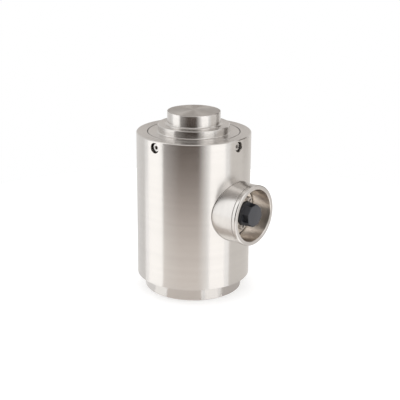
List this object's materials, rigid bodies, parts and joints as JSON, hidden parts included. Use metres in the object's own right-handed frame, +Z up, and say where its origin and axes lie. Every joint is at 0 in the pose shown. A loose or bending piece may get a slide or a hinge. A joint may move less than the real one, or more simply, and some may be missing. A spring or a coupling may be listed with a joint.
{
  "type": "column load cell",
  "caption": "Upright compression load cell: a turned steel column in a thick sleeve, with a load button, sunk radial screws and a collared side port closed by a black eight sided cap.",
  "frame": {"origin": "centre of the base's underside, on the column axis", "axes": "+Z up the column to the load button, +X out of the connector port"},
  "size_m": [0.094, 0.079, 0.127],
  "materials": {
    "column_steel": "fine turned",
    "sleeve_steel": "fine turned, satin",
    "collar_steel": "fine turned, satin",
    "flange_steel": "turned",
    "screw_steel": "bright",
    "connector_metal": "satin plated",
    "cap_plastic": "moulded, satin",
    "seal_rubber": "matt",
    "gasket_rubber": "matt",
    "insulator_plastic": "moulded",
    "contact_metal": "gold plated",
    "gauge_film": "amber film with foil grids",
    "terminal_laminate": "tinned pads",
    "board_laminate": "solder mask",
    "resistor_body": "chip body",
    "pillar_brass": "turned",
    "lead_jacket": "flexible sheath",
    "bridge_wire": "thin sheath"
  },
  "bodies": {
    "root": {"load_column": "column_steel", "outer_sleeve": "sleeve_steel", "port_collar": "collar_steel", "sleeve_screw_1": "screw_steel", "sleeve_screw_2": "screw_steel", "sleeve_screw_3": "screw_steel", "sleeve_screw_4": "screw_steel", "connector_flange": "flange_steel", "flange_screw_1": "screw_steel", "flange_screw_2": "screw_steel", "flange_screw_3": "screw_steel", "flange_screw_4": "screw_steel", "flange_gasket": "gasket_rubber", "connector_shell": "connector_metal", "lock_nut": "connector_metal", "insulator": "insulator_plastic", "contacts": "contact_metal", "rear_boot": "lead_jacket", "blanking_cap": "cap_plastic", "cap_seal": "seal_rubber", "base_o_ring": "seal_rubber", "head_o_ring": "seal_rubber", "strain_gauge_1": "gauge_film", "strain_gauge_2": "gauge_film", "strain_gauge_3": "gauge_film", "strain_gauge_4": "gauge_film", "solder_terminal_1": "terminal_laminate", "solder_terminal_2": "terminal_laminate", "solder_terminal_3": "terminal_laminate", "solder_terminal_4": "terminal_laminate", "bridge_leads_1": "bridge_wire", "bridge_leads_2": "bridge_wire", "bridge_leads_3": "bridge_wire", "bridge_leads_4": "bridge_wire", "compensation_board": "board_laminate", "board_pillar_1": "pillar_brass", "board_pillar_2": "pillar_brass", "board_pillar_3": "pillar_brass", "board_pillar_4": "pillar_brass", "board_screw_1": "screw_steel", "board_screw_2": "screw_steel", "board_screw_3": "screw_steel", "board_screw_4": "screw_steel", "trim_resistors": "resistor_body", "signal_lead": "lead_jacket"}
  },
  "joints": []
}
